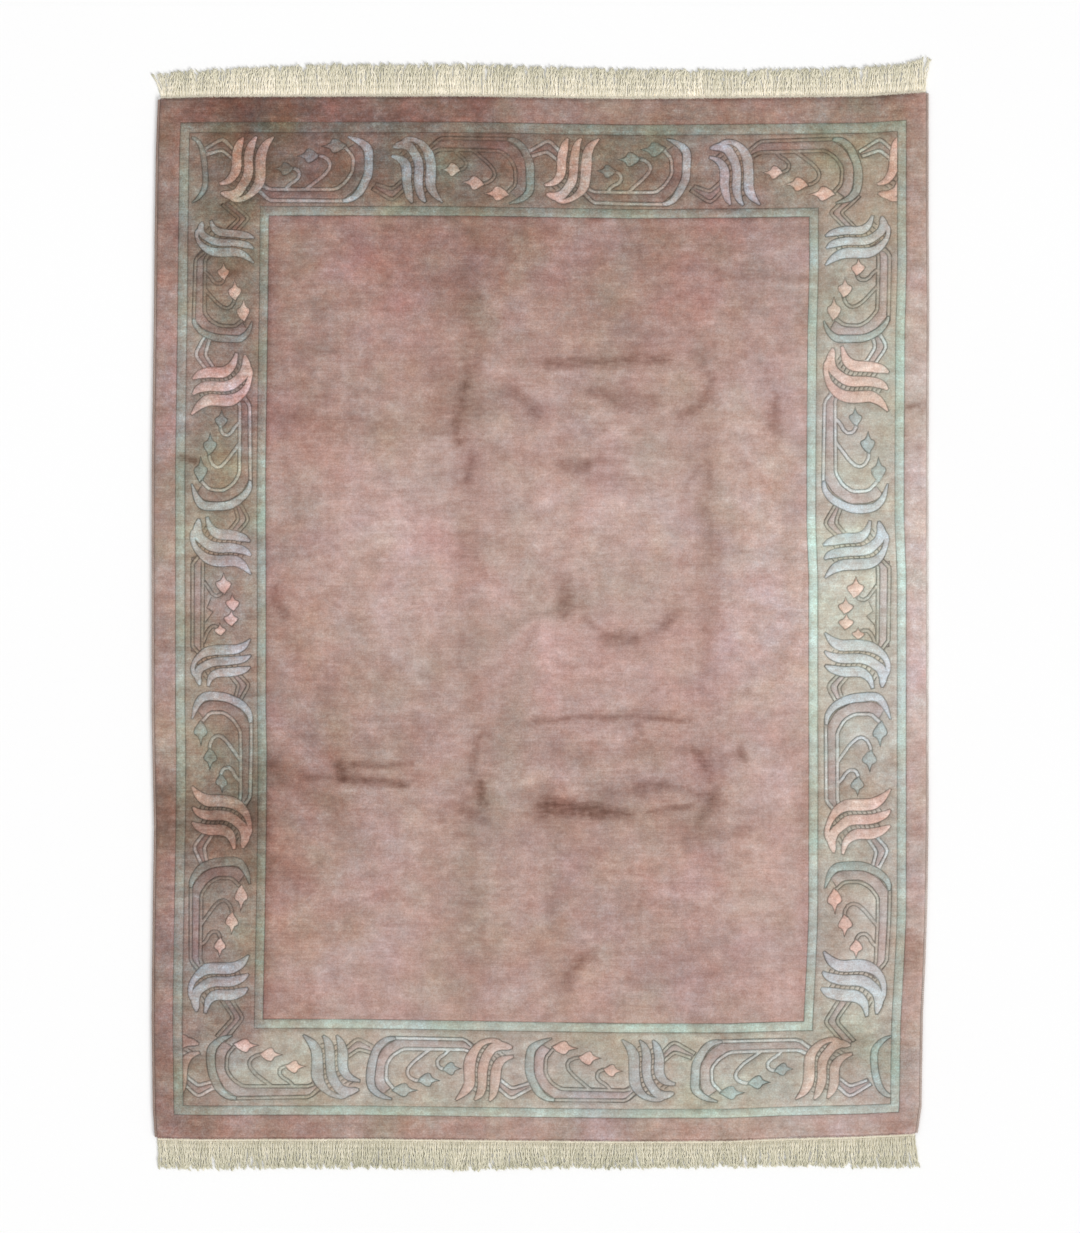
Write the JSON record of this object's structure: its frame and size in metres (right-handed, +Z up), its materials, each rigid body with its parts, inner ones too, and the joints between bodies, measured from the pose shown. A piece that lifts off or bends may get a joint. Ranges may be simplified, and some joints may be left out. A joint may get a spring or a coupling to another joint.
{
  "type": "nepalese rug",
  "caption": "Rectangular hand-knotted wool pile rug lying flat, with carved guard stripes, overcast side cords and a cotton fringe at both ends.",
  "frame": {"origin": "middle of the whole rug's underside, fringes and side cords included, on the floor", "axes": "+X across the rug, +Y along its length towards the end with the longer-reaching fringe, +Z up"},
  "size_m": [2.0056, 2.8696, 0.0159],
  "materials": {
    "pile_wool": "matt wool cut pile, dusty mauve with sea-green guard stripes",
    "cord_wool": "matt overcast wool, greyish mauve",
    "cotton": "matt twisted cotton, cream"
  },
  "bodies": {
    "root": {"rug_pile": "pile_wool", "selvedge_left": "cord_wool", "selvedge_right": "cord_wool", "fringe_bottom": "cotton", "fringe_top": "cotton"}
  },
  "joints": []
}
